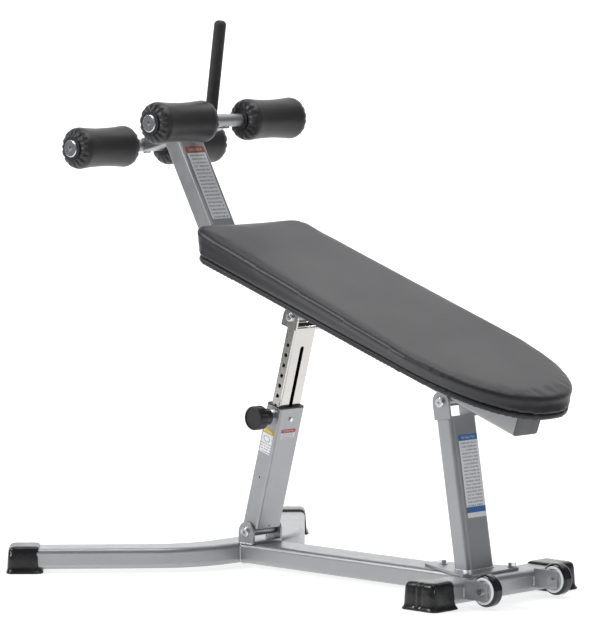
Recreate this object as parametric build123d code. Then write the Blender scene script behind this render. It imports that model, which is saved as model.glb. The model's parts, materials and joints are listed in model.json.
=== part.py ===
from build123d import *
import os
from math import atan2, cos, degrees, hypot, pi, radians, sin, tan

# Decline sit up bench, in millimetres.
# +X runs towards the head and wheel end, +Z is up, the floor is z = 0 and y = 0 is the plane of symmetry.

# ---------------------------------------------------------------- driving dimensions
WALL = 3.0                       # wall of every steel tube
FIT = 0.3                        # gap between two bodies that move past each other
RUN = 0.05                       # radial clearance of a shaft in its bush

# Pivots of the four-bar frame: A foot of the post, B rear clevis, C top of the post
A_X, A_Z = -248.5, 88.0
B_X, B_Z = 385.5, 452.0
C_X, C_Z = -98.2, 621.0

# Base
TUBE_LOW, TUBE_HIGH = 10.0, 60.0         # underside and top of the base tubes
TUBE_MID = (TUBE_LOW + TUBE_HIGH) / 2
TUBE_TALL = TUBE_HIGH - TUBE_LOW
TUBE_WIDE = 90.0
TUBE_CORNER = 12.0
SPINE_WIDE = 100.0
CROSS_X = 501.0                          # centre line of the rear cross tube
FRONT_X = -312.5                         # centre line of the front tube at the middle
CAP_REACH = 255.6                        # outer face of a rear foot cap, from the middle plane
CAP_LONG, CAP_WIDE, CAP_TALL = 92.0, 112.0, 66.0
CAP_END_WALL = 12.0
LEG_SPLAY = 44.14                        # turn of each front leg, degrees
LEG_BEND = 250.0                         # bend radius of the front tube's centre line
LEG_STRAIGHT = 56.0                      # half length of its straight middle
LEG_SPAN_Y = 478.0                       # where a front leg's tube ends

# Rear post and its foot plate
POST2_LEAN = -9.39                       # lean of the rear post towards -X, degrees
POST2_X, POST2_Y = 50.0, 90.0
PLATE_THICK = 6.0
CLEVIS_DROP = 40.5                       # post top below pivot B, along the post
EAR_WIDE, EAR_THICK = 50.0, 5.0
EAR_FACE = 46.5                          # outer face of the ears at B and C
LOW_EAR_FACE, LOW_EAR_THICK = 50.0, 6.0

# Adjusting post
OUTER_X, OUTER_Y = 50.0, 82.0
OUTER_FROM, OUTER_TO = 15.0, 325.0       # ends of the outer tube, along the post from A
INNER_X, INNER_Y = 30.0, 72.0
INNER_FROM = 225.0
BRACKET_DROP = 22.0                      # bracket floor below pivot C
PIN_AT = 300.0                           # pull pin, along the post from A
HOLE_PITCH, HOLE_TOP, HOLE_COUNT, HOLE_R = 26.0, 482.0, 10, 5.2
SLOT_TOP, SLOT_R = 481.0, 6.0
SCREW_AT = 297.0

# Seat frame
RAIL_WIDE, RAIL_TALL = 81.0, 50.0
RAIL_GAP = 12.5                          # underside of the rail above the pivots
RAIL_REAR = 227.6                        # rear end of the rail, along the rail from B
RAIL_FRONT = -797.0                      # mitre with the upright, along the rail from B
UPRIGHT_X, UPRIGHT_Y = 50.0, 82.0
UPRIGHT_LEAN = -29.2
SLEEVE_R = 12.0

# Leg-hold rollers
KNEE_X, KNEE_Z = -367.3, 1083.6
ANKLE_X, ANKLE_Z = -645.3, 1015.4
BAR_R = 15.5
ROLLER_R, ROLLER_WAIST_R, ROLLER_FACE_R = 51.0, 47.0, 30.0
ROLLER_IN, ROLLER_OUT = 57.0, 247.0      # ends of the foam along Y
BEAM_TALL, BEAM_WIDE = 35.0, 38.0
BEAM_END = 6.0                           # ends of the beam's tube, inside the bars' centre lines

# Handle
HANDLE_X, HANDLE_Z = -418.0, 1072.0      # where its axis crosses the beam's axis
GRIP_TOP_X, GRIP_TOP_Z = -379.0, 1327.0
GRIP_R, HANDLE_R = 15.0, 11.0

# Pad
PAD_TILT, PAD_TOP_Z = 20.05, 734.04      # slope of the top, and its height above x = 0
BOARD_TILT, BOARD_Z = 18.87, 660.5       # slope of the underside, and its height above x = 0
PAD_HIP_X = -296.0
PAD_SHOULDER_X = 378.0                   # where the rounded head end starts
PAD_TIP_X, FOOT_TIP_X = 690.4, 682.0     # tip of the head end, at the top and at the underside
PAD_HIP_HALF, PAD_HEAD_HALF = 189.0, 216.0
FOOT_HIP_HALF, FOOT_HEAD_HALF = 189.0, 184.0
PAD_CORNER = 45.0
PAD_ROLL_DEEP, PAD_ROLL = 16.0, 14.0     # straight band under the top, and the radius of its edge
BOARD_THICK, BOARD_INSET = 14.0, 4.0
SUPPORT_THICK = 4.0

# Wheels
WHEEL_X, WHEEL_Y, WHEEL_Z = 597.8, 121.6, 43.0
WHEEL_R, HUB_R, WHEEL_WIDE = 37.5, 31.0, 30.0
FORK_HALF = 20.0                         # bracket plate centre to wheel centre
FORK_THICK = 5.0

POST_LEAN = degrees(atan2(C_X - A_X, C_Z - A_Z))
POST_LONG = hypot(C_X - A_X, C_Z - A_Z)
RAIL_TILT = degrees(atan2(C_Z - B_Z, B_X - C_X))
BEAM_TILT = degrees(atan2(KNEE_Z - ANKLE_Z, KNEE_X - ANKLE_X))
BEAM_LONG = hypot(KNEE_X - ANKLE_X, KNEE_Z - ANKLE_Z)
HANDLE_LEAN = degrees(atan2(GRIP_TOP_X - HANDLE_X, GRIP_TOP_Z - HANDLE_Z))
HANDLE_LONG = hypot(GRIP_TOP_X - HANDLE_X, GRIP_TOP_Z - HANDLE_Z)

# Frames: local Z leans towards +X by the angle, local Y stays along Y
POST = Location((A_X, 0, A_Z), (0, POST_LEAN, 0))
REAR = Location((B_X, 0, B_Z), (0, POST2_LEAN, 0))
RAIL = Location((B_X, 0, B_Z), (0, RAIL_TILT, 0))
BEAM = Location((ANKLE_X, 0, ANKLE_Z), (0, -BEAM_TILT, 0))
HANDLE = Location((HANDLE_X, 0, HANDLE_Z), (0, HANDLE_LEAN, 0))
TOP = POST * Pos(0, 0, POST_LONG)        # the post's frame, moved up to pivot C

HUGE = 3000.0
SIDES = {"left": 1, "right": -1}


# ---------------------------------------------------------------- shared shapes
def rod(radius, y_from, y_to, x=0.0, z=0.0):
    """Round bar along Y."""
    return Pos(x, (y_from + y_to) / 2, z) * Rot(90, 0, 0) * Cylinder(radius, abs(y_to - y_from))


def bar(size_x, size_y, z_from, z_to, corner):
    """Solid rounded bar along Z."""
    return Pos(0, 0, z_from) * extrude(RectangleRounded(size_x, size_y, corner), z_to - z_from)


def tube(size_x, size_y, z_from, z_to, corner):
    """Rounded rectangular tube along Z, open at both ends."""
    hollow = bar(size_x - 2 * WALL, size_y - 2 * WALL, z_from - 1, z_to + 1, corner - WALL)
    return bar(size_x, size_y, z_from, z_to, corner) - hollow


def hexagon(across_flats, y_from, y_to, x=0.0, z=0.0):
    """Hex prism along Y."""
    prism = extrude(RegularPolygon(across_flats / 2, 6, major_radius=False), abs(y_to - y_from))
    return Pos(x, max(y_from, y_to), z) * Rot(90, 0, 0) * prism


def upright_hexagon(across_flats, height):
    """Hex prism along Z, standing on z = 0."""
    return extrude(RegularPolygon(across_flats / 2, 6, major_radius=False), height)


def ear(width, radius, drop, thick, y_mid):
    """Flat lug with a round top about the local origin, going down to z = -drop."""
    outline = Circle(radius) + Pos(0, -drop / 2) * Rectangle(width, drop)
    return Pos(0, y_mid + thick / 2, 0) * Rot(90, 0, 0) * extrude(outline, thick)


def u_bracket(face, thick, drop, hole_r):
    """Two ears and a floor, pivot at the local origin, floor's underside at z = -drop - thick."""
    ears = [ear(EAR_WIDE, EAR_WIDE / 2 - 0.5, drop + thick, thick, s * (face - thick / 2)) for s in (1, -1)]
    floor = Pos(0, 0, -drop - thick / 2) * Box(EAR_WIDE, 2 * face - thick, thick)
    body = ears[0] + ears[1] + floor
    return body - rod(hole_r, -face - 5, face + 5)


def pivot_bolt(radius, face):
    """Button head screw along Y with a hex socket, and its nut on the +Y side."""
    head_r, head_high = radius * 2.1, radius * 1.1
    head = rod(head_r, -face - head_high, -face)
    rim = head.edges().sort_by(Axis.Y)[0]
    head = fillet(rim, head_high * 0.45)
    socket = hexagon(radius * 1.1, -face - head_high - 1, -face - head_high * 0.35)
    shank = rod(radius, -face, face + radius * 2.0)
    nut = hexagon(radius * 3.4, face, face + radius * 1.5) - rod(radius, face - 1, face + radius * 3)
    return (head - socket) + shank + nut


def above(location):
    """Everything on the local +Z side of a frame."""
    return location * Pos(0, 0, HUGE / 2) * Box(HUGE, HUGE, HUGE)


# ---------------------------------------------------------------- base
def base_tube_section(width, inset):
    return RectangleRounded(width - 2 * inset, TUBE_TALL - 2 * inset, TUBE_CORNER - inset)


def make_spine():
    start, end = FRONT_X + TUBE_WIDE / 2, CROSS_X - TUBE_WIDE / 2
    along = Location((start, 0, TUBE_MID), (0, 90, 0))
    solid = along * tube(TUBE_TALL, SPINE_WIDE, 0, end - start, TUBE_CORNER)
    return solid - Pos(PLATE_BOLTS[0][0], 0, TUBE_HIGH) * Cylinder(BOLT_HOLE_R, 20)


def make_cross_tube():
    half = CAP_REACH - CAP_END_WALL
    along = Location((CROSS_X, -half, TUBE_MID), (-90, 0, 0))
    solid = along * tube(TUBE_WIDE, TUBE_TALL, 0, 2 * half, TUBE_CORNER)
    for x, y in PLATE_BOLTS[1:]:
        solid -= Pos(x, y, TUBE_HIGH) * Cylinder(BOLT_HOLE_R, 20)
    return solid


def make_front_leg_tube():
    reach = LEG_STRAIGHT + LEG_BEND * tan(radians(LEG_SPLAY / 2))
    back = (LEG_SPAN_Y - reach) * tan(radians(LEG_SPLAY))
    points = [
        (FRONT_X - back, LEG_SPAN_Y, TUBE_MID),
        (FRONT_X, reach, TUBE_MID),
        (FRONT_X, -reach, TUBE_MID),
        (FRONT_X - back, -LEG_SPAN_Y, TUBE_MID),
    ]
    path = FilletPolyline(*points, radius=LEG_BEND)
    start = Plane(origin=path @ 0, x_dir=(0, 0, 1), z_dir=path % 0)
    shells = []
    for inset in (0, WALL):
        section = RectangleRounded(TUBE_TALL - 2 * inset, TUBE_WIDE - 2 * inset, TUBE_CORNER - inset)
        shells.append(sweep(start * section, path=path))
    return shells[0] - shells[1]


def cap_at(x, y, heading):
    """Foot cap: local +X points outwards along the tube, and x, y is the middle of its flare."""
    flare = extrude(RectangleRounded(CAP_LONG, CAP_WIDE, 16), 6)
    body = extrude(RectangleRounded(CAP_LONG - 6, CAP_WIDE - 12, 16), CAP_TALL, taper=2.5)
    body = fillet(body.faces().sort_by(Axis.Z)[-1].edges(), 13)
    pocket_end = CAP_LONG / 2 - CAP_END_WALL + 0.2
    pocket_deep = CAP_LONG
    pocket = Location((pocket_end - pocket_deep, 0, TUBE_MID), (0, 90, 0)) * bar(
        TUBE_TALL + 0.4, TUBE_WIDE + 0.4, 0, pocket_deep, TUBE_CORNER + 0.2
    )
    return Location((x, y, 0), (0, 0, heading)) * (flare + body - pocket)


def foot_caps():
    caps = {}
    for side, s in SIDES.items():
        caps[f"foot_cap_rear_{side}"] = cap_at(CROSS_X, s * (CAP_REACH - CAP_LONG / 2), s * 90)
        step = CAP_LONG / 2 - CAP_END_WALL
        heading = 90 + LEG_SPLAY
        reach = LEG_STRAIGHT + LEG_BEND * tan(radians(LEG_SPLAY / 2))
        end_x = FRONT_X - (LEG_SPAN_Y - reach) * tan(radians(LEG_SPLAY))
        x = end_x - cos(radians(heading)) * step
        y = LEG_SPAN_Y - sin(radians(heading)) * step
        caps[f"foot_cap_front_{side}"] = cap_at(x, s * y, s * heading)
    return caps


BOLT_R, BOLT_HOLE_R = 5.0, 5.4
PLATE_BOLTS = [(351.0, 0.0), (498.0, 78.0), (498.0, -78.0)]


def make_post_plate():
    rounds = [((331.0, 0.0), 27.0), ((493.0, 70.0), 24.0), ((493.0, -70.0), 24.0)]
    edges = Sketch() + [Pos(*centre) * Circle(radius) for centre, radius in rounds]
    plate = Pos(0, 0, TUBE_HIGH) * extrude(make_hull(edges.edges()), PLATE_THICK)
    for x, y in PLATE_BOLTS:
        plate -= Pos(x, y, TUBE_HIGH) * Cylinder(BOLT_HOLE_R, 40)
    return plate


def make_plate_bolts():
    """Hex bolts with a washer each."""
    washer_thick = 2.0
    washer_top = TUBE_HIGH + PLATE_THICK + washer_thick
    pieces = []
    for x, y in PLATE_BOLTS:
        head = Pos(x, y, washer_top) * upright_hexagon(17, 8)
        shank = Pos(x, y, washer_top - 15) * Cylinder(BOLT_R, 30)
        washer = Cylinder(12, washer_thick) - Cylinder(BOLT_HOLE_R, 2 * washer_thick)
        pieces += [head + shank, Pos(x, y, washer_top - washer_thick / 2) * washer]
    return Compound(children=pieces)


def make_rear_post():
    floor = TUBE_HIGH + PLATE_THICK
    solid = REAR * tube(POST2_X, POST2_Y, -500, -CLEVIS_DROP, TUBE_CORNER)
    return solid & Pos(0, 0, floor + HUGE / 2) * Box(HUGE, HUGE, HUGE)


def wheel_fork(side):
    """The two plates that hold one wheel, welded to the rear face of the cross tube."""
    x_from = CROSS_X + TUBE_WIDE / 2
    x_to = WHEEL_X + 17.0
    plates = []
    for offset in (FORK_HALF, -FORK_HALF):
        plate = Pos((x_from + x_to) / 2, 0, WHEEL_Z) * Box(x_to - x_from, FORK_THICK, 44)
        corners = plate.edges().filter_by(Axis.Y).group_by(Axis.X)[-1]
        plate = fillet(corners, 9)
        plate = Pos(0, SIDES[side] * WHEEL_Y + offset, 0) * plate
        plates.append(plate - rod(BOLT_HOLE_R, -HUGE, HUGE, WHEEL_X, WHEEL_Z))
    return plates


def make_wheel_axles():
    axles = []
    for s in SIDES.values():
        face = FORK_HALF + FORK_THICK / 2
        axle = rod(BOLT_R, -face - 1, face + 12)
        head = hexagon(15, -face - 6, -face)
        nut = hexagon(16, face, face + 8) - rod(BOLT_R, face - 1, face + 9)
        axles.append(Pos(WHEEL_X, s * WHEEL_Y, WHEEL_Z) * (axle + head + nut))
    return Compound(children=axles)


def make_wheel(side):
    middle = Pos(WHEEL_X, SIDES[side] * WHEEL_Y, WHEEL_Z)
    half = WHEEL_WIDE / 2
    hub = rod(HUB_R, -half, half)
    for s in (1, -1):
        dish = rod(HUB_R - 6, s * (half - 4), s * (half + 1)) - rod(12, s * (half - 5), s * (half + 2))
        hub -= dish
    hub -= rod(BOLT_R + RUN, -half - 1, half + 1)
    tyre = rod(WHEEL_R, -half + 1.5, half - 1.5)
    tyre = fillet(tyre.edges(), 7) - rod(HUB_R, -half, half)
    return middle * hub, middle * tyre


# ---------------------------------------------------------------- adjusting post
def make_outer_tube():
    solid = tube(OUTER_X, OUTER_Y, OUTER_FROM, OUTER_TO, 6)
    solid -= Pos(0, -OUTER_Y / 2, PIN_AT) * Rot(90, 0, 0) * Cylinder(PLUNGER_R + 0.6, 20)
    solid -= Pos(0, -OUTER_Y / 2, 142) * Rot(90, 0, 0) * Cylinder(2.5, 20)
    solid -= Pos(OUTER_X / 2, 0, OUTER_FROM + 6) * Rot(0, 90, 0) * Cylinder(2.5, 20)
    solid -= Pos(OUTER_X / 2, 0, SCREW_AT) * Rot(0, 90, 0) * Cylinder(3.2, 20)
    return POST * solid


def make_post_sleeve():
    sleeve = rod(SLEEVE_R, -OUTER_Y / 2, OUTER_Y / 2) - rod(8, -HUGE / 2, HUGE / 2)
    web = Pos(0, 0, OUTER_FROM / 2 + 2) * Box(16, OUTER_Y - 12, OUTER_FROM - 4)
    return POST * (sleeve + web - rod(8, -HUGE / 2, HUGE / 2))


def bushings(face, gap_face, sleeve_bore, shaft_r):
    """A pair of flanged bushings that fill the ends of a sleeve."""
    parts = []
    for s in (1, -1):
        barrel = rod(sleeve_bore, s * (face - 20), s * face)
        flange = rod(sleeve_bore + 2.5, s * face, s * gap_face)
        parts.append(barrel + flange - rod(shaft_r + RUN, -HUGE / 2, HUGE / 2))
    return Compound(children=parts)


def make_collar():
    inside_x, inside_y = OUTER_X - 2 * WALL - 0.2, OUTER_Y - 2 * WALL - 0.2
    body = bar(inside_x, inside_y, OUTER_TO - 40, OUTER_TO, 3)
    flange = bar(OUTER_X - 1, OUTER_Y - 1, OUTER_TO, OUTER_TO + 3.5, 5.5)
    bore = bar(INNER_X + 2 * FIT, INNER_Y + 2 * FIT, 0, 500, 4.2)
    solid = body + flange - bore
    solid -= Pos(0, -OUTER_Y / 2, PIN_AT) * Rot(90, 0, 0) * Cylinder(PLUNGER_R + 0.6, 30)
    solid -= Pos(OUTER_X / 2, 0, SCREW_AT) * Rot(0, 90, 0) * Cylinder(3.2, 30)
    return POST * solid


def make_guide_screw():
    head = Pos(OUTER_X / 2 + 1.5, 0, SCREW_AT) * Rot(0, 90, 0) * Cylinder(5.0, 3.0)
    shank_long = OUTER_X / 2 - INNER_X / 2 + 2.5
    shank = Pos(OUTER_X / 2 - shank_long / 2, 0, SCREW_AT) * Rot(0, 90, 0) * Cylinder(3.0, shank_long)
    return POST * (head + shank)


def make_inner_tube():
    top = POST_LONG - BRACKET_DROP - EAR_THICK
    solid = tube(INNER_X, INNER_Y, INNER_FROM, top, 4)
    for k in range(HOLE_COUNT):
        solid -= rod(HOLE_R, -INNER_Y, INNER_Y, 0, HOLE_TOP - k * HOLE_PITCH)
    slot_low = INNER_FROM + 20
    slot = Pos(INNER_X / 2, 0, (slot_low + SLOT_TOP - SLOT_R) / 2) * Box(
        10, 2 * SLOT_R, SLOT_TOP - SLOT_R - slot_low
    )
    for end in (slot_low, SLOT_TOP - SLOT_R):
        slot += Pos(INNER_X / 2, 0, end) * Rot(0, 90, 0) * Cylinder(SLOT_R, 10)
    return POST * (solid - slot)


PLUNGER_R = 4.9
STEM_R = 3.5
BARREL_R, CHAMBER_R = 11.0, 8.0
BARREL_END = -70.0
PIN_TIP = -36.5
KNOB_R, KNOB_FACE, KNOB_BACK = 29.0, -107.0, -78.0
KNOB_NECK_R, KNOB_NECK_END = 20.0, -57.0
PIN = POST * Pos(0, 0, PIN_AT)


def make_pin_barrel():
    face = -OUTER_Y / 2
    body = rod(BARREL_R, face, BARREL_END) + hexagon(27, face, face - 11)
    body -= rod(CHAMBER_R, face - 5, BARREL_END + 3)
    body -= rod(PLUNGER_R + RUN, 0, face - 6)
    body -= rod(STEM_R + RUN, BARREL_END + 4, BARREL_END - 1)
    return PIN * body


def make_pin_plunger():
    tip = rod(PLUNGER_R, PIN_TIP, -48.5)
    tip = chamfer(tip.edges().sort_by(Axis.Y)[-1], 1.0)
    shoulder = rod(CHAMBER_R - 0.3, -47.5, -50)
    stem = rod(STEM_R, -49, KNOB_BACK - 10)
    return PIN * (tip + shoulder + stem)


def make_pin_knob():
    head = rod(KNOB_R, KNOB_FACE, KNOB_BACK)
    head = fillet(head.edges(), 3.5)
    neck = rod(KNOB_NECK_R, KNOB_BACK - 1, KNOB_NECK_END)
    knob = head + neck
    knob -= rod(KNOB_R - 5, KNOB_FACE - 1, KNOB_FACE + 2)
    for k in range(12):
        angle = radians(30 * k)
        knob -= rod(4, KNOB_FACE + 5, KNOB_BACK + 8, 31.5 * cos(angle), 31.5 * sin(angle))
    knob -= rod(BARREL_R + 0.5, 0, BARREL_END - 1)
    knob -= rod(STEM_R, 0, KNOB_BACK - 10)
    return PIN * knob


def make_pin_spring():
    """Compression spring at its closed length against the end of the barrel."""
    wire_r, coil_r, turns, pitch = 0.55, 5.9, 2.6, 1.3
    helix = Helix(pitch, pitch * turns, coil_r)
    start = Plane(origin=helix @ 0, z_dir=helix % 0)
    coil = sweep(start * Circle(wire_r), path=helix)
    return PIN * Pos(0, BARREL_END + 3.7 + pitch * turns, 0) * Rot(90, 0, 0) * coil


# ---------------------------------------------------------------- seat frame
def mitre():
    joint = RAIL * Pos(RAIL_FRONT, 0, RAIL_GAP + RAIL_TALL / 2)
    lean = (UPRIGHT_LEAN - 90 + RAIL_TILT) / 2
    return Location(joint.position, (0, lean, 0)), joint.position


def make_rail():
    long_tube = tube(RAIL_TALL, RAIL_WIDE, -1000, RAIL_REAR - 3, 6)
    level = Location((0, 0, RAIL_GAP + RAIL_TALL / 2), (0, 90, 0))
    solid = level * long_tube
    solid -= rod(TOP_SLEEVE_R + 0.05, -HUGE / 2, HUGE / 2, -PIVOT_SPAN, 0)
    solid = RAIL * solid
    return solid - above(mitre()[0])


PIVOT_SPAN = hypot(B_X - C_X, C_Z - B_Z)
TOP_SLEEVE_R, TOP_SLEEVE_BORE = 14.5, 12.2
TOP_BOLT_R = 5.0
REAR_BOLT_R = 6.0
SLEEVE_BORE = 8.0


def make_rail_cap():
    level = Location((0, 0, RAIL_GAP + RAIL_TALL / 2), (0, 90, 0))
    lid = bar(RAIL_TALL, RAIL_WIDE, RAIL_REAR - 3, RAIL_REAR, 6)
    plug = bar(RAIL_TALL - 2 * WALL - 0.2, RAIL_WIDE - 2 * WALL - 0.2, RAIL_REAR - 18, RAIL_REAR - 3, 2.9)
    return RAIL * level * (lid + plug)


def make_rear_sleeve():
    sleeve = rod(SLEEVE_R, -RAIL_WIDE / 2, RAIL_WIDE / 2)
    seat = Pos(0, 0, RAIL_GAP / 2 + 1) * Box(18, RAIL_WIDE - 6, RAIL_GAP - 2)
    return RAIL * (sleeve + seat - rod(SLEEVE_BORE, -HUGE / 2, HUGE / 2))


def make_top_sleeve():
    sleeve = rod(TOP_SLEEVE_R, -RAIL_WIDE / 2, RAIL_WIDE / 2, -PIVOT_SPAN, 0)
    return RAIL * (sleeve - rod(TOP_SLEEVE_BORE, -HUGE / 2, HUGE / 2, -PIVOT_SPAN, 0))


BOARD = Location((0, 0, BOARD_Z), (0, BOARD_TILT, 0))
PAD_TOP = Location((0, 0, PAD_TOP_Z), (0, PAD_TILT, 0))


def pad_outline(hip_half, head_half, tip_x, tilt, inset=0.0):
    """Plan of the pad on a sloping plane: straight hip end, straight sides, rounded head end."""
    scale = 1 / cos(radians(tilt))
    hip = PAD_HIP_X * scale + inset
    shoulder, tip = PAD_SHOULDER_X * scale, tip_x * scale - inset
    hip_half, head_half = hip_half - inset, head_half - inset
    power, steps = 2 / 2.3, 8
    curve = []
    for k in range(1, 2 * steps):
        t = pi / 2 - pi * k / (2 * steps)
        x = shoulder + (tip - shoulder) * abs(cos(t)) ** power
        y = head_half * (1 if t >= 0 else -1) * abs(sin(t)) ** power
        curve.append((x, y))
    slope = (head_half - hip_half) / (shoulder - hip)
    left, right = (shoulder, head_half), (shoulder, -head_half)
    head = Spline(left, *curve, right, tangents=[(1, slope), (-1, slope)])
    sides = Polyline(right, (hip, -hip_half), (hip, hip_half), left)
    face = make_face(Curve() + [head, sides])
    return fillet(face.vertices().group_by(Axis.X)[0], PAD_CORNER)


def foot_outline(inset=0.0):
    return pad_outline(FOOT_HIP_HALF, FOOT_HEAD_HALF, FOOT_TIP_X, BOARD_TILT, inset)


def make_board():
    return BOARD * extrude(foot_outline(BOARD_INSET), BOARD_THICK)


def make_cushion():
    low = BOARD * Pos(0, 0, BOARD_THICK) * foot_outline()
    high = PAD_TOP * Pos(0, 0, -PAD_ROLL_DEEP) * pad_outline(PAD_HIP_HALF, PAD_HEAD_HALF, PAD_TIP_X, PAD_TILT)
    solid = loft([low, high], ruled=True) + extrude(high, PAD_ROLL_DEEP, dir=PAD_UP)
    tops = solid.faces().filter_by(lambda f: f.normal_at().get_angle(PAD_UP) < 1.0)
    edges = tops.sort_by(SortBy.AREA)[-1].edges()
    return fillet(edges, PAD_ROLL)


PAD_UP = Vector(sin(radians(PAD_TILT)), 0, cos(radians(PAD_TILT)))


def make_support(x_mid, plate_long):
    """Cross plate screwed under the board, on a riser welded to the rail."""
    along = x_mid / cos(radians(BOARD_TILT))
    plate = Pos(along, 0, -SUPPORT_THICK / 2) * Box(plate_long, 300, SUPPORT_THICK)
    riser = RAIL * Pos(0, 0, RAIL_GAP + RAIL_TALL + 50) * Box(2000, 70, 100)
    slab = BOARD * Pos(along, 0, -SUPPORT_THICK - 50) * Box(plate_long - 10, 70, 100)
    return (BOARD * plate) + (riser & slab)


SUPPORT_X = (-60.0, 190.0, 420.0)
SCREW_Y = 125.0


def make_pad_screws():
    screws = []
    for x in SUPPORT_X:
        for s in (1, -1):
            head = Pos(0, 0, -SUPPORT_THICK - 5) * upright_hexagon(13, 5)
            screws.append(BOARD * Pos(x / cos(radians(BOARD_TILT)), s * SCREW_Y, 0) * head)
    return Compound(children=screws)


def make_upright():
    seat, corner = mitre()
    lean = Location(corner, (0, UPRIGHT_LEAN, 0))
    solid = lean * tube(UPRIGHT_X, UPRIGHT_Y, -200, 600, 6)
    under_beam = BEAM * Pos(0, 0, -BEAM_TALL / 2)
    return (solid & above(seat)) - above(under_beam)


def make_beam():
    along = Location((0, 0, 0), (0, 90, 0))
    solid = along * tube(BEAM_TALL, BEAM_WIDE, BEAM_END, BEAM_LONG - BEAM_END, 5)
    ends = rod(BAR_R, -100, 100, 0, 0) + rod(BAR_R, -100, 100, BEAM_LONG, 0)
    return BEAM * (solid - ends)


def make_bar(x, z):
    half = ROLLER_OUT + 4.8
    return rod(BAR_R, -half, half, x, z) - rod(BAR_R - WALL, -half - 1, half + 1, x, z)


BARS = {"knee": (KNEE_X, KNEE_Z), "ankle": (ANKLE_X, ANKLE_Z)}


def make_bar_caps():
    caps = []
    for x, z in BARS.values():
        for s in (1, -1):
            face = s * CAP_REACH
            inner = s * (ROLLER_OUT + 4.8)
            disc = rod(21.5, inner, face)
            disc = fillet(disc.edges().sort_by(Axis.Y)[-1 if s > 0 else 0], 2.5)
            plug = rod(BAR_R - WALL, inner - s * 15, inner)
            socket = hexagon(14, inner - s * 8, face + s)
            caps.append(Pos(x, 0, z) * (disc + plug - socket))
    return Compound(children=caps)


def make_roller_collars():
    collars = []
    for x, z in BARS.values():
        for s in (1, -1):
            for y_from, y_to, radius in ((ROLLER_IN - 5, ROLLER_IN - 0.5, 25), (ROLLER_OUT + 0.4, ROLLER_OUT + 4.8, 29)):
                ring = rod(radius, s * y_from, s * y_to) - rod(BAR_R, -HUGE / 2, HUGE / 2)
                collars.append(Pos(x, 0, z) * ring)
    return Compound(children=collars)


def make_bar_screws():
    """Small hex screws up into each bar, just past the end of the beam."""
    screws = []
    for along in (0, BEAM_LONG):
        for step in (-6.5, 6.5):
            head = Pos(along, step, -BAR_R - 4.5) * upright_hexagon(8, 6)
            screws.append(BEAM * (head - rod(BAR_R, -HUGE / 2, HUGE / 2, along, 0)))
    return Compound(children=screws)


def make_roller(x, z, s):
    half = (ROLLER_OUT - ROLLER_IN) / 2
    mid = s * (ROLLER_OUT + ROLLER_IN) / 2
    bore = BAR_R + FIT
    shoulder = half - 22
    outline = Line((bore, -half), (ROLLER_FACE_R, -half))
    outline += ThreePointArc((ROLLER_FACE_R, -half), (46.5, -half + 7), (ROLLER_R, -shoulder))
    outline += ThreePointArc((ROLLER_R, -shoulder), (ROLLER_WAIST_R, 0), (ROLLER_R, shoulder))
    outline += ThreePointArc((ROLLER_R, shoulder), (46.5, half - 7), (ROLLER_FACE_R, half))
    outline += Line((ROLLER_FACE_R, half), (bore, half))
    outline += Line((bore, half), (bore, -half))
    solid = revolve(make_face(outline), Axis.Y)
    return Pos(x, mid, z) * solid


def make_handle_tube():
    solid = Cylinder(HANDLE_R, HANDLE_LONG - 14, align=(Align.CENTER, Align.CENTER, Align.MIN))
    hollow = Cylinder(HANDLE_R - 2.5, HANDLE_LONG - 18, align=(Align.CENTER, Align.CENTER, Align.MIN))
    return (HANDLE * (solid - hollow)) & above(BEAM * Pos(0, 0, BEAM_TALL / 2))


def make_grip():
    foot = 34.0
    body = Pos(0, 0, foot) * Cylinder(GRIP_R, HANDLE_LONG - foot, align=(Align.CENTER, Align.CENTER, Align.MIN))
    body = fillet(body.edges().sort_by(Axis.Z)[-1], 11)
    hollow = Cylinder(HANDLE_R, HANDLE_LONG - 14, align=(Align.CENTER, Align.CENTER, Align.MIN))
    return HANDLE * (body - hollow)


# ---------------------------------------------------------------- labels
def face_label(across, long, corner=2.0):
    """Thin plate whose face looks along local +X, standing on z = 0."""
    return Location((0, 0, long / 2), (0, 90, 0)) * extrude(RectangleRounded(long, across, corner), LABEL_THICK)


LABEL_THICK = 0.4


def labels():
    seat_corner = mitre()[1]
    upright = Location(seat_corner, (0, UPRIGHT_LEAN, 0))
    side = Pos(0, -OUTER_Y / 2, 205) * Rot(0, 0, -90) * face_label(36, 61)
    return {
        "rear_post_label": REAR * Pos(POST2_X / 2, 4, -274) * face_label(64, 193),
        "upright_label": upright * Pos(UPRIGHT_X / 2, 0, 93) * face_label(61, 199),
        "post_front_label": POST * Pos(OUTER_X / 2, 0, 249) * face_label(48, 23),
        "post_side_label": POST * side,
    }


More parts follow.
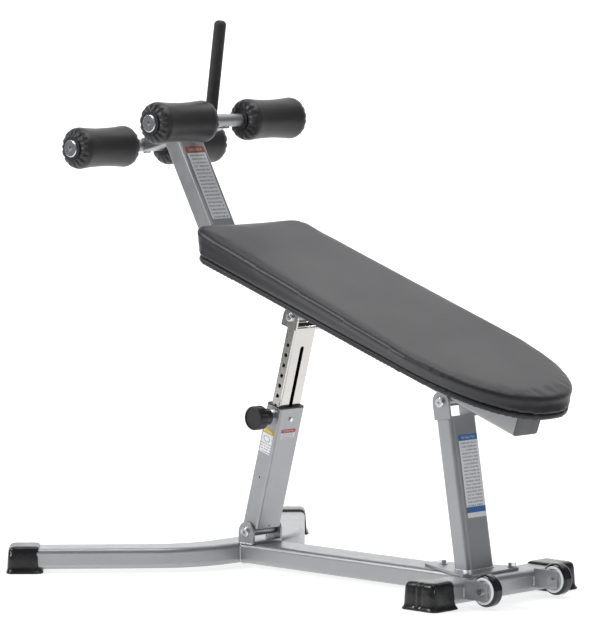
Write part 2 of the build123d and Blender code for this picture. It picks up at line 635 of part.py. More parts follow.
# ---------------------------------------------------------------- assembly
def build():
    nodes = {
        "base_spine": make_spine(),
        "rear_cross_tube": make_cross_tube(),
        "front_leg_tube": make_front_leg_tube(),
        "lower_pivot_bracket": Pos(A_X, 0, A_Z) * u_bracket(LOW_EAR_FACE, LOW_EAR_THICK, A_Z - TUBE_HIGH - 6, 6.0),
        "lower_pivot_bolt": Pos(A_X, 0, A_Z) * pivot_bolt(6.0, LOW_EAR_FACE),
        "rear_post_plate": make_post_plate(),
        "plate_bolts": make_plate_bolts(),
        "rear_post": make_rear_post(),
        "rear_clevis": REAR * u_bracket(EAR_FACE, EAR_THICK, CLEVIS_DROP - EAR_THICK, REAR_BOLT_R),
        "rear_pivot_bolt": REAR * pivot_bolt(REAR_BOLT_R, EAR_FACE),
        "wheel_forks": Compound(children=[p for side in SIDES for p in wheel_fork(side)]),
        "wheel_axles": make_wheel_axles(),
        "post_outer_tube": make_outer_tube(),
        "post_pivot_sleeve": make_post_sleeve(),
        "post_bushings": POST * bushings(OUTER_Y / 2, LOW_EAR_FACE - LOW_EAR_THICK - FIT, 8.0, 6.0),
        "post_collar": make_collar(),
        "guide_screw": make_guide_screw(),
        "pin_barrel": make_pin_barrel(),
        "pin_spring": make_pin_spring(),
        "pin_plunger": make_pin_plunger(),
        "pin_knob": make_pin_knob(),
        "post_inner_tube": make_inner_tube(),
        "top_bracket": TOP * u_bracket(EAR_FACE, EAR_THICK, BRACKET_DROP, TOP_BOLT_R),
        "top_pivot_bolt": TOP * pivot_bolt(TOP_BOLT_R, EAR_FACE),
        "seat_rail": make_rail(),
        "rail_end_cap": make_rail_cap(),
        "rear_pivot_sleeve": make_rear_sleeve(),
        "rear_bushings": RAIL * bushings(RAIL_WIDE / 2, EAR_FACE - EAR_THICK - FIT, SLEEVE_BORE, REAR_BOLT_R),
        "top_pivot_sleeve": make_top_sleeve(),
        "pad_support_front": make_support(SUPPORT_X[0], 50),
        "pad_support_middle": make_support(SUPPORT_X[1], 50),
        "pad_support_rear": make_support(SUPPORT_X[2], 50),
        "pad_screws": make_pad_screws(),
        "pad_board": make_board(),
        "pad_cushion": make_cushion(),
        "leg_upright": make_upright(),
        "roller_beam": make_beam(),
        "knee_bar": make_bar(KNEE_X, KNEE_Z),
        "ankle_bar": make_bar(ANKLE_X, ANKLE_Z),
        "bar_end_caps": make_bar_caps(),
        "roller_collars": make_roller_collars(),
        "bar_screws": make_bar_screws(),
        "handle_tube": make_handle_tube(),
        "handle_grip": make_grip(),
    }
    nodes.update(foot_caps())
    nodes.update(labels())
    for side, s in SIDES.items():
        hub, tyre = make_wheel(side)
        nodes[f"wheel_hub_{side}"] = hub
        nodes[f"wheel_tyre_{side}"] = tyre
        for bar_name, (x, z) in BARS.items():
            nodes[f"{bar_name}_roller_{side}"] = make_roller(x, z, s)
    return nodes


def main():
    os.makedirs("parts", exist_ok=True)
    for name, shape in build().items():
        export_step(shape, f"parts/{name}.step")
        box = shape.bounding_box()
        print(f"{name:22s} {len(shape.solids())} solids  {box.min.X:8.1f} {box.min.Y:8.1f} {box.min.Z:8.1f}"
              f"  {box.max.X:8.1f} {box.max.Y:8.1f} {box.max.Z:8.1f}")


main()
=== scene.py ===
import json
import math
import random

import bmesh
import bpy
from mathutils import Matrix, Vector, noise


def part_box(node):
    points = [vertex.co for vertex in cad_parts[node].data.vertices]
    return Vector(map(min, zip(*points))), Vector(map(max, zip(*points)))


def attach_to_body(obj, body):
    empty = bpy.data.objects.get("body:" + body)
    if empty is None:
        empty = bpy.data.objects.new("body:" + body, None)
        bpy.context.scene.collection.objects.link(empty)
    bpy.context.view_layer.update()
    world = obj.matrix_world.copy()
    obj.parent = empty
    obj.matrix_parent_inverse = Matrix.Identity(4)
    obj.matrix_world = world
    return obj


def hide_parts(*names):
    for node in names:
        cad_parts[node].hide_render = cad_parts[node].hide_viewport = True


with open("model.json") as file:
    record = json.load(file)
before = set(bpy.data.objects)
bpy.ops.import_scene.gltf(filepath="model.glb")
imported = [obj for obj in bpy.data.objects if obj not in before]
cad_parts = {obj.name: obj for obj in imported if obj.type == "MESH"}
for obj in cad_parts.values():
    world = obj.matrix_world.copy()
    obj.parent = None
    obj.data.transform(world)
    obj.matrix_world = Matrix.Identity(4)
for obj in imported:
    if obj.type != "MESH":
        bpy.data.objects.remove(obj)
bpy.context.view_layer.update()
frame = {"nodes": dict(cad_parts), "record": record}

SCENE = bpy.context.scene
NODES = frame["nodes"]
JOINTS = {j["name"]: j for j in frame["record"]["behaviour"]["joints"]}
SLOT_OF = {s["node"]: s["material_slot"] for s in frame["record"]["subparts"]}
MM = 0.001
SEED = 7
UP = Vector((0, 0, 1))

POST_AXIS = Vector(JOINTS["post_slide"]["axis"]).normalized()
REAR_LEAN, UPRIGHT_LEAN = math.radians(-9.39), math.radians(-29.2)
REAR_AXIS = Vector((math.sin(REAR_LEAN), 0, math.cos(REAR_LEAN)))
UPRIGHT_AXIS = Vector((math.sin(UPRIGHT_LEAN), 0, math.cos(UPRIGHT_LEAN)))
ACROSS = Vector((0, 1, 0))
POST_SIDE = ACROSS.cross(POST_AXIS)


# ------------------------------------------------------------------ node materials
class Finish:
    """A node material while it is being built."""

    def __init__(self, name):
        self.material = bpy.data.materials.new(name)
        self.material.use_nodes = True
        self.tree = self.material.node_tree
        self.surface = self.tree.nodes["Principled BSDF"]
        self.position = self.node("ShaderNodeTexCoord").outputs["Object"]

    def feed(self, socket, value):
        if isinstance(value, bpy.types.NodeSocket):
            self.tree.links.new(value, socket)
        else:
            socket.default_value = value

    def node(self, kind, inputs=None, **settings):
        node = self.tree.nodes.new(kind)
        for key, value in settings.items():
            setattr(node, key, value)
        for key, value in (inputs or {}).items():
            self.feed(node.inputs[key], value)
        return node

    def put(self, **values):
        names = {"colour": "Base Color", "metallic": "Metallic", "rough": "Roughness", "normal": "Normal",
                 "sheen": "Sheen Weight", "sheen_rough": "Sheen Roughness", "coat": "Coat Weight",
                 "coat_rough": "Coat Roughness", "specular": "Specular IOR Level", "glow": "Emission Color",
                 "glow_power": "Emission Strength"}
        for key, value in values.items():
            self.feed(self.surface.inputs[names[key]], value)
        return self

    def stretched(self, scale):
        return self.node("ShaderNodeMapping", {"Vector": self.position, "Scale": scale}).outputs["Vector"]

    def noise(self, scale, detail=3.0, rough=0.5, at=None):
        inputs = {"Vector": at or self.position, "Scale": scale, "Detail": detail, "Roughness": rough}
        return self.node("ShaderNodeTexNoise", inputs).outputs["Fac"]

    def cells(self, scale, feature="F1"):
        inputs = {"Vector": self.position, "Scale": scale}
        return self.node("ShaderNodeTexVoronoi", inputs, feature=feature).outputs["Distance"]

    def math(self, kind, a, b=0.0, c=0.0):
        node = self.node("ShaderNodeMath", operation=kind)
        for socket, value in zip(node.inputs, (a, b, c)):
            self.feed(socket, value)
        return node.outputs[0]

    def spread(self, value, low, high, from_low=0.3, from_high=0.7):
        inputs = {"Value": value, "From Min": from_low, "From Max": from_high, "To Min": low, "To Max": high}
        return self.node("ShaderNodeMapRange", inputs).outputs["Result"]

    def mix(self, amount, first, second):
        node = self.node("ShaderNodeMix", data_type="RGBA")
        self.feed(node.inputs["Factor"], amount)
        self.feed(node.inputs[6], first)
        self.feed(node.inputs[7], second)
        return node.outputs[2]

    def bump(self, height, strength, distance, under=None):
        inputs = {"Height": height, "Strength": strength, "Distance": distance}
        if under:
            inputs["Normal"] = under
        return self.node("ShaderNodeBump", inputs).outputs["Normal"]

    def eased(self, radius=0.9 * MM):
        return self.node("ShaderNodeBevel", {"Radius": radius}, samples=4).outputs["Normal"]

    def along(self, axis, low, high):
        """0 to 1 between two distances along a direction."""
        dot = self.node("ShaderNodeVectorMath", operation="DOT_PRODUCT")
        self.feed(dot.inputs[0], self.position)
        self.feed(dot.inputs[1], tuple(axis))
        return self.spread(dot.outputs["Value"], 0.0, 1.0, low, high)

    def between(self, value, low, high):
        above = self.math("GREATER_THAN", value, low)
        below = self.math("LESS_THAN", value, high)
        return self.math("MULTIPLY", above, below)


def extent(node, axis):
    """Lowest and highest distance of a CAD node's points along a direction."""
    reach = [v.co.dot(axis) for v in NODES[node].data.vertices]
    return min(reach), max(reach)


def rgb(*values):
    if len(values) == 1:
        values = values * 3
    return (*values, 1.0)


def frame_paint():
    f = Finish("frame_paint")
    flake = f.noise(1500, 2.0, 0.7)
    cloud = f.noise(7, 2.0)
    tone = f.mix(f.spread(flake, 0.0, 1.0), rgb(0.36, 0.365, 0.375), rgb(0.46, 0.465, 0.48))
    tone = f.mix(f.spread(cloud, 0.0, 0.22), tone, rgb(0.35, 0.355, 0.37))
    rough = f.spread(f.noise(45, 4.0), 0.33, 0.43)
    peel = f.bump(f.noise(420, 2.0), 0.10, 0.5 * MM, f.eased())
    return f.put(colour=tone, metallic=0.75, rough=rough, normal=peel).material


def bright_plate():
    f = Finish("bright_plate")
    streak = f.noise(900, 3.0, 0.6, f.stretched((1.0, 1.0, 0.03)))
    tone = f.mix(f.spread(f.noise(12, 3.0), 0.0, 0.5), rgb(0.66, 0.64, 0.61), rgb(0.58, 0.57, 0.55))
    rough = f.spread(streak, 0.12, 0.24)
    scratch = f.bump(streak, 0.06, 0.2 * MM, f.eased(0.7 * MM))
    # Painted shade: everything set in from the tube's outer faces (the bore, the inner parts of the hole walls and the
    # tube ends) is coloured near-black, rough and non-metallic.
    low, high = extent("post_inner_tube", POST_SIDE)
    depth = f.along(POST_SIDE, low, high)
    width = f.along(ACROSS, *extent("post_inner_tube", ACROSS))
    painted_bore_shade = f.math("MULTIPLY", f.between(depth, 0.085, 0.915), f.between(width, 0.035, 0.965))
    tone = f.mix(painted_bore_shade, tone, rgb(0.012))
    rough = f.math("MAXIMUM", rough, f.math("MULTIPLY", painted_bore_shade, 0.8))
    shine = f.math("SUBTRACT", 1.0, painted_bore_shade)
    return f.put(colour=tone, metallic=shine, rough=rough, normal=scratch).material


def zinc():
    f = Finish("zinc")
    stain = f.noise(160, 4.0, 0.6)
    tone = f.mix(f.spread(stain, 0.0, 1.0), rgb(0.66, 0.67, 0.64), rgb(0.74, 0.76, 0.80))
    rough = f.spread(f.noise(500, 3.0), 0.18, 0.28)
    pits = f.bump(f.noise(900, 2.0), 0.04, 0.1 * MM, f.eased(0.5 * MM))
    return f.put(colour=tone, metallic=1.0, rough=rough, normal=pits).material


def spring_steel():
    f = Finish("spring_steel")
    tone = f.mix(f.noise(400), rgb(0.30), rgb(0.48))
    rough = f.spread(f.noise(700), 0.25, 0.4)
    return f.put(colour=tone, metallic=1.0, rough=rough, normal=f.bump(f.noise(1500), 0.1, 0.1 * MM)).material


def plastic(name, colour, low, high, grain=0.08, scale=1100):
    f = Finish(name)
    tone = f.mix(f.spread(f.noise(20, 3.0), 0.0, 1.0), rgb(*[c * 0.85 for c in colour]), rgb(*[c * 1.15 for c in colour]))
    rough = f.spread(f.noise(35, 4.0), low, high)
    skin = f.bump(f.noise(scale, 2.0), grain, 0.3 * MM, f.eased(0.8 * MM))
    return f.put(colour=tone, rough=rough, normal=skin).material


def vinyl(name, colour, low, high, sheen):
    """Stretched vinyl: fine pebble grain with shallow pores and a worn, slightly shinier cast."""
    f = Finish(name)
    worn = f.spread(f.noise(5, 3.0, 0.5), 0.3, 0.7)
    tone = f.mix(worn, rgb(*[c * 0.9 for c in colour]), rgb(*[c * 1.12 for c in colour]))
    pebble = f.math("MULTIPLY", f.cells(620), f.noise(1400, 2.0))
    rough = f.math("ADD", f.spread(pebble, 0.0, 0.06, 0.0, 0.4), f.spread(worn, high, low, 0.0, 1.0))
    skin = f.bump(pebble, 0.35, 0.25 * MM, f.bump(f.noise(30, 3.0), 0.12, 2.0 * MM))
    return f.put(colour=tone, rough=rough, normal=skin, sheen=sheen, sheen_rough=0.5).material


def grip_foam():
    f = Finish("grip_foam")
    pores = f.cells(900)
    tone = f.mix(f.spread(f.noise(60, 4.0), 0.0, 1.0), rgb(0.016), rgb(0.028))
    skin = f.bump(pores, 0.3, 0.3 * MM)
    return f.put(colour=tone, rough=f.spread(pores, 0.6, 0.75, 0.0, 0.6), normal=skin, sheen=0.2).material


def label(node, along, across, header, share, rows, footer=None, paper=(0.85, 0.86, 0.88), icon=False):
    """Printed label: coloured header, rows of blurred unreadable print, perhaps a coloured footer."""
    f = Finish(SLOT_OF[node])
    v = f.along(along, *extent(node, along))
    u = f.along(across, *extent(node, across))
    row = f.math("FRACT", f.math("MULTIPLY", v, float(rows)))
    word = f.noise(420, 1.0, 0.5, f.stretched((1.0, 1.0, 0.35)))
    print_rows = f.math("MULTIPLY", f.between(row, 0.25, 0.75), f.between(word, 0.42, 1.0))
    print_rows = f.math("MULTIPLY", print_rows, f.between(u, 0.09, 0.91))
    tone = f.mix(f.math("MULTIPLY", print_rows, 0.55), rgb(*paper), rgb(0.12, 0.12, 0.14))
    if icon:
        box_area = f.math("MULTIPLY", f.between(v, 0.42, 0.76), f.between(u, 0.2, 0.8))
        tone = f.mix(box_area, tone, rgb(*paper))
        du = f.math("MULTIPLY", f.math("SUBTRACT", u, 0.5), 0.6)
        dv = f.math("SUBTRACT", v, 0.59)
        ring = f.math("SQRT", f.math("ADD", f.math("MULTIPLY", du, du), f.math("MULTIPLY", dv, dv)))
        tone = f.mix(f.math("MULTIPLY", f.between(ring, 0.10, 0.13), 0.7), tone, rgb(0.1))
    top = f.math("GREATER_THAN", v, 1.0 - share)
    mark = f.math("MULTIPLY", f.between(v, 1.0 - share * 0.7, 1.0 - share * 0.3), f.between(u, 0.14, 0.86))
    mark = f.math("MULTIPLY", mark, f.between(f.noise(330, 0.0), 0.46, 1.0))
    tone = f.mix(top, tone, rgb(*header))
    tone = f.mix(f.math("MULTIPLY", mark, 0.45), tone, rgb(*paper))
    if footer:
        tone = f.mix(f.between(v, footer[0], footer[1]), tone, rgb(*header))
        tone = f.mix(f.math("LESS_THAN", v, footer[0]), tone, rgb(*paper))
    scuff = f.noise(40, 5.0, 0.7)
    tone = f.mix(f.spread(scuff, 0.0, 0.12), tone, rgb(0.35))
    rough = f.spread(scuff, 0.32, 0.48)
    return f.put(colour=tone, rough=rough, normal=f.bump(f.noise(260, 2.0), 0.06, 0.3 * MM)).material


def weld_paint():
    """The frame's paint where it has run thin and bright over the welds."""
    f = Finish("weld")
    tone = f.mix(f.spread(f.noise(260, 3.0), 0.0, 1.0), rgb(0.50, 0.50, 0.50), rgb(0.74, 0.74, 0.74))
    skin = f.bump(f.noise(700, 2.0), 0.2, 0.4 * MM)
    return f.put(colour=tone, metallic=0.7, rough=f.spread(f.noise(90), 0.24, 0.4), normal=skin).material


MATERIALS = {
    "weld": weld_paint(),
    "frame_paint": frame_paint(),
    "bright_plate": bright_plate(),
    "zinc": zinc(),
    "spring_steel": spring_steel(),
    "foot_plastic": plastic("foot_plastic", (0.008, 0.008, 0.009), 0.22, 0.32, 0.04),
    "bush_plastic": plastic("bush_plastic", (0.016, 0.016, 0.018), 0.36, 0.5),
    "end_cap_plastic": plastic("end_cap_plastic", (0.10, 0.10, 0.108), 0.42, 0.55, 0.15),
    "wheel_hub": plastic("wheel_hub", (0.85, 0.89, 0.88), 0.42, 0.55),
    "wheel_tyre": plastic("wheel_tyre", (0.008, 0.009, 0.014), 0.12, 0.2, 0.03, 600),
    "board": vinyl("board", (0.018, 0.018, 0.020), 0.46, 0.58, 0.05),
    "pad_vinyl": vinyl("pad_vinyl", (0.021, 0.019, 0.023), 0.34, 0.46, 0.04),
    "roller_vinyl": vinyl("roller_vinyl", (0.024, 0.022, 0.024), 0.32, 0.42, 0.05),
    "grip_foam": grip_foam(),
    "post_label": label("rear_post_label", REAR_AXIS, ACROSS, (0.02, 0.14, 0.42), 0.07, 24, (0.06, 0.13)),
    "upright_label": label("upright_label", UPRIGHT_AXIS, ACROSS, (0.36, 0.10, 0.045), 0.09, 20),
    "front_label": label("post_front_label", POST_AXIS, ACROSS, (0.50, 0.05, 0.05), 0.38, 6),
    "side_label": label("post_side_label", POST_AXIS, Vector((1, 0, 0)), (0.62, 0.45, 0.02), 0.2, 9, icon=True),
}


def dress_frame():
    for name, obj in NODES.items():
        obj.data.materials.clear()
        obj.data.materials.append(MATERIALS[SLOT_OF[name]])


# ------------------------------------------------------------------ mesh helpers
def mesh_object(name, verts, faces, slot):
    mesh = bpy.data.meshes.new(name)
    mesh.from_pydata(verts, [], faces)
    mesh.validate()
    mesh.polygons.foreach_set("use_smooth", [True] * len(mesh.polygons))
    mesh.update()
    obj = bpy.data.objects.new(name, mesh)
    SCENE.collection.objects.link(obj)
    mesh.materials.append(MATERIALS[slot])
    return obj


def copy_of(node, name):
    """A new object with the CAD node's shape, welded into one surface."""
    mesh = NODES[node].data.copy()
    obj = bpy.data.objects.new(name, mesh)
    SCENE.collection.objects.link(obj)
    work = bmesh.new()
    work.from_mesh(mesh)
    bmesh.ops.remove_doubles(work, verts=work.verts, dist=0.02 * MM)
    work.to_mesh(mesh)
    work.free()
    return obj


def baked(obj):
    """Applies every modifier at the current frame."""
    bpy.context.view_layer.update()
    depsgraph = bpy.context.evaluated_depsgraph_get()
    mesh = bpy.data.meshes.new_from_object(obj.evaluated_get(depsgraph))
    obj.modifiers.clear()
    obj.data = mesh
    mesh.polygons.foreach_set("use_smooth", [True] * len(mesh.polygons))
    return obj


def remeshed(obj, size, rounds=4):
    remesh = obj.modifiers.new("remesh", "REMESH")
    remesh.mode, remesh.voxel_size = "VOXEL", size
    baked(obj)
    smooth = obj.modifiers.new("smooth", "SMOOTH")
    smooth.factor, smooth.iterations = 0.5, rounds
    return baked(obj)


def normals_of(obj):
    return [v.normal.copy() for v in obj.data.vertices]


def attach(obj, body, slot, *replaced):
    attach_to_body(obj, body)
    if replaced:
        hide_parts(*replaced)
    return obj


def step(value, low, high):
    t = min(max((value - low) / (high - low), 0.0), 1.0)
    return t * t * (3 - 2 * t)


def hump(value, middle, width):
    return math.exp(-((value - middle) / width) ** 2)


# ------------------------------------------------------------------ pad
def widest_face(node):
    """Normal and a point of the largest flat area that looks up."""
    total, point, area = Vector(), Vector(), 0.0
    for p in NODES[node].data.polygons:
        if p.normal.z > 0.93 and p.area > 2e-6:
            total += p.normal * p.area
            point += p.center * p.area
            area += p.area
    return total.normalized(), point / area


CUSHION_GIVE = 2.6 * MM


def inflated(obj, floor_test):
    """Lets a little air pressure round the cover, with the underside held."""
    held = obj.vertex_groups.new(name="held")
    held.add([v.index for v in obj.data.vertices if floor_test(v.co)], 1.0, "REPLACE")
    before = [v.co.copy() for v in obj.data.vertices]
    cloth = obj.modifiers.new("cloth", "CLOTH")
    settings = cloth.settings
    settings.quality, settings.mass = 4, 0.3
    settings.tension_stiffness = settings.compression_stiffness = 30
    settings.shear_stiffness, settings.bending_stiffness = 12, 3
    settings.use_pressure, settings.uniform_pressure_force = True, 4
    settings.effector_weights.gravity = 0
    settings.vertex_group_mass = "held"
    cloth.point_cache.frame_start, cloth.point_cache.frame_end = 1, 20
    for number in range(1, 21):
        SCENE.frame_set(number)
    baked(obj)
    SCENE.frame_set(1)
    for vertex, old in zip(obj.data.vertices, before):
        moved = vertex.co - old
        if moved.length > CUSHION_GIVE:
            vertex.co = old + moved * (CUSHION_GIVE / moved.length)
    obj.vertex_groups.clear()
    even = obj.modifiers.new("even", "SMOOTH")
    even.factor, even.iterations = 0.5, 5
    return baked(obj)


def make_cushion():
    up, on_top = widest_face("pad_cushion")
    low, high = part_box("pad_cushion")
    cushion = copy_of("pad_cushion", "cushion_cover")
    remeshed(cushion, 6 * MM)
    board_up, board_top = widest_face("pad_board")
    inflated(cushion, lambda co: (co - board_top).dot(board_up) < 3 * MM)
    fine = cushion.modifiers.new("fine", "SUBSURF")
    fine.levels = fine.render_levels = 1
    baked(cushion)
    hip = low.x + 50 * MM
    mesh = cushion.data
    for vertex, normal in zip(mesh.vertices, normals_of(cushion)):
        depth = (on_top - vertex.co).dot(up) / MM
        rise = (vertex.co - board_top).dot(board_up) / MM
        out = normal - up * normal.dot(up)
        side = min(out.length * 1.3, 1.0)
        if side < 0.15:
            continue
        out.normalize()
        push = 0.3 * hump(depth, 8.0, 6.0) - 1.1 * hump(depth, 22.0, 8.0)
        push += 0.8 * hump(rise, 7.0, 5.0)
        corner = step(hip - vertex.co.x, -60 * MM, 20 * MM) * step(abs(vertex.co.y), 0.10, 0.17)
        if corner > 0:
            turn = math.atan2(vertex.co.y, hip - vertex.co.x + 60 * MM)
            fold = noise.noise(Vector((turn * 9.0, depth * 0.012, 3.1)))
            push += 1.6 * fold * corner * step(depth, 4, 16) * step(rise, 2, 12)
        push += 0.35 * noise.noise(vertex.co * 26) * step(depth, 6, 20)
        vertex.co += out * (push * side * MM)
    mesh.materials.clear()
    mesh.materials.append(MATERIALS["pad_vinyl"])
    attach(cushion, "seat", "pad_vinyl", "pad_cushion")


def make_board_wrap():
    """Vinyl pulled round the board's edge, seen as a band under the cushion."""
    wrap = copy_of("pad_board", "board_wrap")
    remeshed(wrap, 4 * MM)
    for vertex, normal in zip(wrap.data.vertices, normals_of(wrap)):
        side = 1.0 - abs(normal.z) ** 2
        ripple = 0.3 * noise.noise(vertex.co * 35)
        vertex.co += normal * ((3.0 * side + ripple) * MM)
    wrap.data.materials.clear()
    wrap.data.materials.append(MATERIALS["board"])
    attach(wrap, "seat", "board", "pad_board")


# ------------------------------------------------------------------ rollers
def roller_profile(half, big, bore, face):
    """Points from one end's bore to the other's: across Y, radius, and how deep the pleats are."""
    shoulder = 24 * MM
    end = [(half, bore + (face - bore) * k / 5, 0.0) for k in range(6)]
    for k in range(1, 25):
        t = k / 24
        y = half - shoulder * (1 - math.cos(t * math.pi / 2)) ** 1.15
        r = face + (big - face) * math.sin(t * math.pi / 2)
        end.append((y, r, math.sin(math.pi * min(t * 1.45, 1.0)) ** 0.7))
    inner = half - shoulder
    middle = []
    for k in range(1, 48):
        t = 1 - 2 * k / 48
        middle.append((inner * t, big - 4 * MM * (1 - t * t), 0.0))
    return end + middle + [(-y, r, p) for y, r, p in reversed(end)]


def roller_mesh(half, big):
    rng = random.Random(SEED)
    spokes = 16
    folds = []
    for k in range(spokes):
        angle = 2 * math.pi * (k + rng.uniform(-0.16, 0.16)) / spokes
        folds.append((angle, rng.uniform(0.75, 1.2), rng.uniform(0.075, 0.105)))
    around = 288
    profile = roller_profile(half, big, 15.9 * MM, 29 * MM)
    verts, faces = [], []
    for n, (y, r, pleat) in enumerate(profile):
        before, after = profile[max(n - 1, 0)], profile[min(n + 1, len(profile) - 1)]
        along_y, along_r = after[0] - before[0], after[1] - before[1]
        length = math.hypot(along_y, along_r) or 1.0
        out_y, out_r = along_r / length, -along_y / length
        for k in range(around):
            angle = 2 * math.pi * k / around
            push = 0.0
            if pleat > 0:
                for centre, depth, width in folds:
                    turn = (angle - centre + math.pi) % (2 * math.pi) - math.pi
                    if abs(turn) < 0.4:
                        push -= 3.6 * depth * math.exp(-(turn / width) ** 2) * pleat
                push += 0.6 * pleat
            spot = Vector((math.cos(angle), y * 14, math.sin(angle)))
            push += 0.35 * noise.noise(spot * 2.2)
            if abs(y) < half - 20 * MM:
                push -= 0.9 * hump((angle - 3.9) * r / MM, 0, 1.5)
            rr = r + out_r * push * MM if r > 17 * MM else r
            yy = y + out_y * push * MM if r > 17 * MM else y
            verts.append((rr * math.cos(angle), yy, rr * math.sin(angle)))
    rings = len(profile)
    for n in range(rings):
        m = (n + 1) % rings
        for k in range(around):
            j = (k + 1) % around
            faces.append((n * around + k, n * around + j, m * around + j, m * around + k))
    return verts, faces


def make_rollers():
    low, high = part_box("knee_roller_left")
    half, big = (high.y - low.y) / 2, (high.x - low.x) / 2
    verts, faces = roller_mesh(half, big)
    for number, name in enumerate(("knee_roller_left", "knee_roller_right", "ankle_roller_left", "ankle_roller_right")):
        low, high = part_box(name)
        roller = mesh_object(name + "_cover", verts, faces, "roller_vinyl")
        turn = Matrix.Rotation(0.35 * number, 4, "Y")
        roller.matrix_world = Matrix.Translation((low + high) / 2) @ turn
        attach(roller, name, "roller_vinyl", name)


# ------------------------------------------------------------------ weld beads
def bead(name, points, body, radius=2.4 * MM, closed=False, pitch=3.4 * MM):
    """Rippled weld along a line of points."""
    path = [Vector(p) for p in points]
    if closed:
        path.append(path[0].copy())
    samples = []
    for a, b in zip(path, path[1:]):
        count = max(int((b - a).length / (0.8 * MM)), 1)
        samples += [a.lerp(b, k / count) for k in range(count)]
    if not closed:
        samples.append(path[-1])
    verts, faces, sides = [], [], 10
    total = len(samples)
    for n, point in enumerate(samples):
        ahead = samples[(n + 1) % total] if closed else samples[min(n + 1, total - 1)]
        behind = samples[n - 1] if closed else samples[max(n - 1, 0)]
        forward = (ahead - behind).normalized()
        guide = UP if abs(forward.z) < 0.9 else ACROSS
        left = forward.cross(guide).normalized()
        top = left.cross(forward)
        ripple = abs(math.sin(math.pi * n * 0.8 * MM / pitch))
        wide = radius * (0.80 + 0.22 * ripple + 0.14 * noise.noise(point * 400))
        if not closed:
            wide *= 0.25 + 0.75 * math.sin(math.pi * min(max(min(n, total - 1 - n) / 6, 0.0), 1.0) / 2)
        for k in range(sides):
            angle = 2 * math.pi * k / sides
            verts.append(point + (left * math.cos(angle) + top * math.sin(angle)) * wide)
    for n in range(total if closed else total - 1):
        m = (n + 1) % total
        for k in range(sides):
            j = (k + 1) % sides
            faces.append((n * sides + k, n * sides + j, m * sides + j, m * sides + k))
    if not closed:
        faces.append(tuple(range(sides))[::-1])
        faces.append(tuple((total - 1) * sides + k for k in range(sides)))
    return attach(mesh_object(name, verts, faces, "weld"), body, "frame_paint")


def rounded_loop(half_a, half_b, corner, steps=6):
    points = []
    for sa, sb, start in ((1, 1, 0), (-1, 1, 90), (-1, -1, 180), (1, -1, 270)):
        for k in range(steps + 1):
            angle = math.radians(start + 90 * k / steps)
            points.append((sa * (half_a - corner) + corner * math.cos(angle),
                           sb * (half_b - corner) + corner * math.sin(angle)))
    return points


def make_welds():
    spine_low, spine_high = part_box("base_spine")
    cross_low, cross_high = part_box("rear_cross_tube")
    middle = (spine_low + spine_high) / 2
    half = (spine_high - spine_low) / 2
    loop = rounded_loop(half.y, half.z, 12 * MM)
    for name, x in (("weld_spine_front", spine_low.x), ("weld_spine_rear", spine_high.x)):
        bead(name, [(x, y, middle.z + z) for y, z in loop], "base", 2.6 * MM, True)
    fork_low, fork_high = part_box("wheel_forks")
    for side in ("left", "right"):
        hub_low, hub_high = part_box(f"wheel_hub_{side}")
        wheel_y = (hub_low.y + hub_high.y) / 2
        for n, offset in enumerate((-22.5, -17.5, 17.5, 22.5)):
            y = wheel_y + offset * MM
            line = [(cross_high.x, y, fork_low.z + 2 * MM), (cross_high.x, y, 50 * MM)]
            bead(f"weld_fork_{side}_{n}", line, "base", 2.8 * MM)
    post_low, post_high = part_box("rear_post")
    half_x = 25 * MM / math.cos(REAR_LEAN)
    base_x = post_high.x - half_x
    loop = rounded_loop(half_x, (post_high.y - post_low.y) / 2, 12 * MM)
    bead("weld_rear_post", [(base_x + x, y, post_low.z) for x, y in loop], "base", 3.0 * MM, True)
    low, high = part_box("lower_pivot_bracket")
    for name, s in (("left", 1), ("right", -1)):
        line = [(low.x + 2 * MM, s * high.y, low.z), (high.x - 2 * MM, s * high.y, low.z)]
        bead(f"weld_pivot_{name}", line, "base", 2.4 * MM)


# ------------------------------------------------------------------ foot caps
def make_foot_caps():
    """Caps with a softly divided end face and a rolled lip."""
    for name in ("rear_left", "rear_right", "front_left", "front_right"):
        node = f"foot_cap_{name}"
        low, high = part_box(node)
        centre = (low + high) / 2
        turn = {"rear": 90.0, "front": 134.14}[name.split("_")[0]]
        heading = math.radians(turn if name.endswith("left") else -turn)
        ahead = Vector((math.cos(heading), math.sin(heading), 0))
        beside = Vector((-ahead.y, ahead.x, 0))
        cap = copy_of(node, f"cap_{name}")
        remeshed(cap, 2.2 * MM, 36)
        for vertex, normal in zip(cap.data.vertices, normals_of(cap)):
            local = vertex.co - centre
            x, y, z = local.dot(ahead) / MM, local.dot(beside) / MM, vertex.co.z / MM
            facing = max(normal.dot(ahead), 0.0)
            push = -1.5 * step(z, 30, 66) * (1 - abs(normal.z))
            push -= 2.2 * (hump(y, 9, 4.0) + hump(y, -9, 4.0)) * facing * step(z, 6, 14)
            push += 1.2 * hump(y, 0, 6) * facing * step(z, 6, 14)
            rim = hump(x, -40, 3) * step(z, 12, 20)
            push += 1.3 * rim * (1 - abs(normal.dot(ahead)))
            push += 0.25 * noise.noise(vertex.co * 60)
            vertex.co += normal * push * MM
            vertex.co.z = max(vertex.co.z, low.z)
        cap.data.materials.clear()
        cap.data.materials.append(MATERIALS["foot_plastic"])
        attach(cap, "base", "foot_plastic", node)


# ------------------------------------------------------------------ camera, floor and light
CAMERA_AT = Vector((6.5101, -6.8146, 1.4383))
CAMERA_AZIMUTH, CAMERA_PITCH, CAMERA_ROLL = 44.178, 4.858, -0.140
LENS, SENSOR = 229.24, 36.0


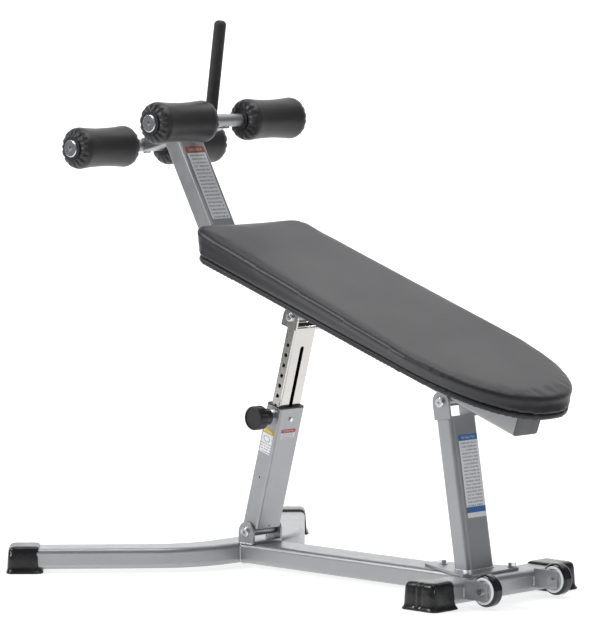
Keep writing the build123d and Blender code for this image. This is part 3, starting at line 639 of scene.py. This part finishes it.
def make_camera():
    data = bpy.data.cameras.new("camera")
    data.lens, data.sensor_width, data.sensor_fit = LENS, SENSOR, "AUTO"
    data.clip_end = 60.0
    camera = bpy.data.objects.new("camera", data)
    SCENE.collection.objects.link(camera)
    turn = Matrix.Rotation(math.radians(CAMERA_AZIMUTH), 4, "Z")
    tilt = Matrix.Rotation(math.radians(90 - CAMERA_PITCH), 4, "X")
    roll = Matrix.Rotation(math.radians(CAMERA_ROLL), 4, "Z")
    camera.matrix_world = Matrix.Translation(CAMERA_AT) @ turn @ tilt @ roll
    SCENE.camera = camera


def make_light(name, at, size, power, target=(0, 0, 0.5), size_y=None):
    data = bpy.data.lights.new(name, "AREA")
    data.shape = "RECTANGLE"
    data.size, data.size_y = size, size_y or size
    data.energy = power
    lamp = bpy.data.objects.new(name, data)
    SCENE.collection.objects.link(lamp)
    lamp.location = at
    lamp.rotation_euler = (Vector(target) - Vector(at)).to_track_quat("-Z", "Y").to_euler()


def pale_sheet(name, corners, glow):
    f = Finish(name)
    mottled = f.mix(f.noise(2.0), rgb(0.50), rgb(0.54))
    f.put(colour=mottled, rough=0.8, glow=rgb(1.0), glow_power=glow)
    mesh = bpy.data.meshes.new(name)
    mesh.from_pydata(corners, [], [(0, 1, 2, 3)])
    sheet = bpy.data.objects.new(name, mesh)
    SCENE.collection.objects.link(sheet)
    mesh.materials.append(f.material)


def make_studio():
    ahead = Vector((-math.sin(math.radians(CAMERA_AZIMUTH)), math.cos(math.radians(CAMERA_AZIMUTH)), 0))
    beside = Vector((-ahead.y, ahead.x, 0))
    near, far = ahead * -2.2, ahead * 4.5
    ground = [near - beside * 3.2, near + beside * 3.2, far + beside * 6, far - beside * 6]
    pale_sheet("floor", [tuple(p) for p in ground], 0.72)
    wall = [far - beside * 6, far + beside * 6, far + beside * 6 + UP * 6, far - beside * 6 + UP * 6]
    pale_sheet("backdrop", [tuple(p) for p in wall], 0.9)
    world = bpy.data.worlds.new("studio")
    SCENE.world = world
    world.use_nodes = True
    background = world.node_tree.nodes["Background"]
    background.inputs["Color"].default_value = (0.93, 0.96, 1.0, 1.0)
    background.inputs["Strength"].default_value = 0.18
    make_light("key", (-2.6, -4.4, 3.6), 2.2, 185, (0, 0, 0.5))
    make_light("fill", (4.6, 0.6, 1.6), 1.6, 9, (0, 0, 0.5))
    make_light("top", (0.2, 0.4, 4.2), 3.2, 85, (0, 0, 0.3))
    SCENE.view_settings.view_transform = "Standard"


dress_frame()
make_cushion()
make_board_wrap()
make_rollers()
make_welds()
make_foot_caps()
make_camera()
make_studio()
